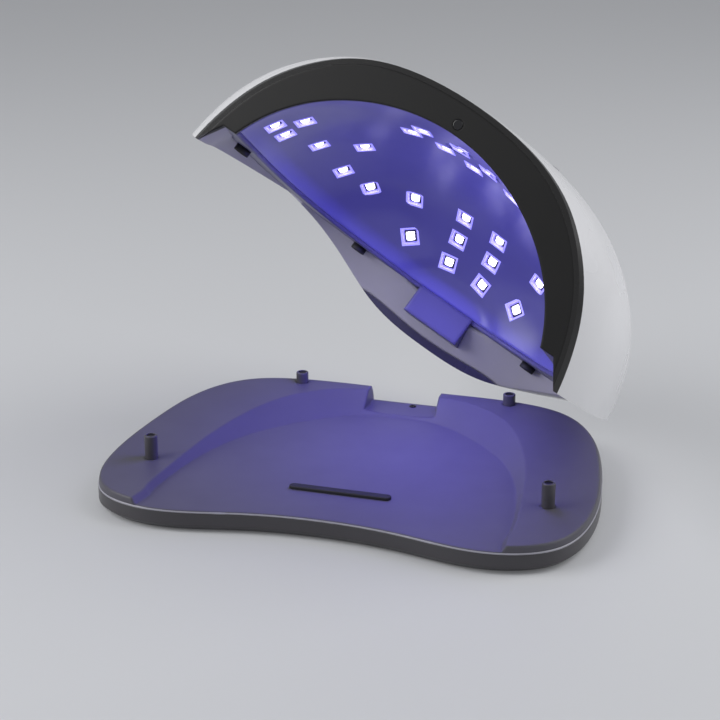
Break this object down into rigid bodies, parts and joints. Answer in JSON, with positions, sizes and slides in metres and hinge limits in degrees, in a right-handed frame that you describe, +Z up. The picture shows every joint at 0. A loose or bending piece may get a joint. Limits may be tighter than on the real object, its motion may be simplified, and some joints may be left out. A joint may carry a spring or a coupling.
{
  "type": "nail lamp",
  "caption": "Domed LED nail lamp propped open beside its tray, with posts, a bar and an arched rim.",
  "frame": {"origin": "middle of the tray's underside, below the palm rest", "axes": "+Z up from the table, +Y towards the back of the tray, +X to the right seen from the open front"},
  "size_m": [0.2407, 0.2009, 0.2052],
  "materials": {
    "grey_plastic": "satin",
    "grey_plastic_lower": "satin",
    "post_plastic": "satin",
    "dark_rubber": "matte",
    "magnet_steel": "satin",
    "white_plastic": "satin",
    "charcoal_plastic": "satin",
    "liner_plastic": "satin",
    "circuit_board": "satin",
    "emitter": "clear lens, lit violet",
    "dark_lens": "gloss",
    "black_plastic": "matte",
    "panel_plastic": "satin",
    "button_plastic": "satin"
  },
  "bodies": {
    "tray": {"tray_top": "grey_plastic", "tray_pan": "grey_plastic_lower", "heel_bar": "dark_rubber", "post_front_left": "post_plastic", "post_front_right": "post_plastic", "post_back_left": "post_plastic", "post_back_right": "post_plastic", "post_magnets": "magnet_steel", "rubber_feet": "dark_rubber"},
    "dome": {"top_shell": "white_plastic", "rim_bezel": "charcoal_plastic", "led_liner": "liner_plastic", "liner_flange": "liner_plastic", "led_boards_left": "circuit_board", "led_boards_right": "circuit_board", "led_boards_roof": "circuit_board", "led_boards_rear": "circuit_board", "led_emitters_left": "emitter", "led_emitters_right": "emitter", "led_emitters_roof": "emitter", "led_emitters_rear": "emitter", "strike_plates": "magnet_steel", "sensor_lens": "dark_lens", "sensor_board": "circuit_board", "power_inlet": "black_plastic", "control_panel": "panel_plastic", "display_window": "dark_lens", "display_module": "black_plastic", "control_board": "circuit_board", "tact_switches": "black_plastic"},
    "timer_button_10": {"timer_button_10": "button_plastic"},
    "timer_button_30": {"timer_button_30": "button_plastic"},
    "timer_button_60": {"timer_button_60": "button_plastic"},
    "timer_button_99": {"timer_button_99": "button_plastic"}
  },
  "joints": [
    {"name": "dome_tilt", "type": "hinge", "parent": "tray", "child": "dome", "pos_m": [0.104, 0.051, 0.021], "axis": [-0.7089, 0.6917, -0.1379], "range_deg": [-41.42, 0]},
    {"name": "timer_button_10_press", "type": "slide", "parent": "dome", "child": "timer_button_10", "axis": [-0.4821, -0.4451, -0.7546], "range_m": [0, 0.0007], "stiffness_N_per_m": 600, "springref_m": -0.0006},
    {"name": "timer_button_30_press", "type": "slide", "parent": "dome", "child": "timer_button_30", "axis": [-0.4821, -0.4451, -0.7546], "range_m": [0, 0.0007], "stiffness_N_per_m": 600, "springref_m": -0.0006},
    {"name": "timer_button_60_press", "type": "slide", "parent": "dome", "child": "timer_button_60", "axis": [-0.4821, -0.4451, -0.7546], "range_m": [0, 0.0007], "stiffness_N_per_m": 600, "springref_m": -0.0006},
    {"name": "timer_button_99_press", "type": "slide", "parent": "dome", "child": "timer_button_99", "axis": [-0.4821, -0.4451, -0.7546], "range_m": [0, 0.0007], "stiffness_N_per_m": 600, "springref_m": -0.0006}
  ]
}
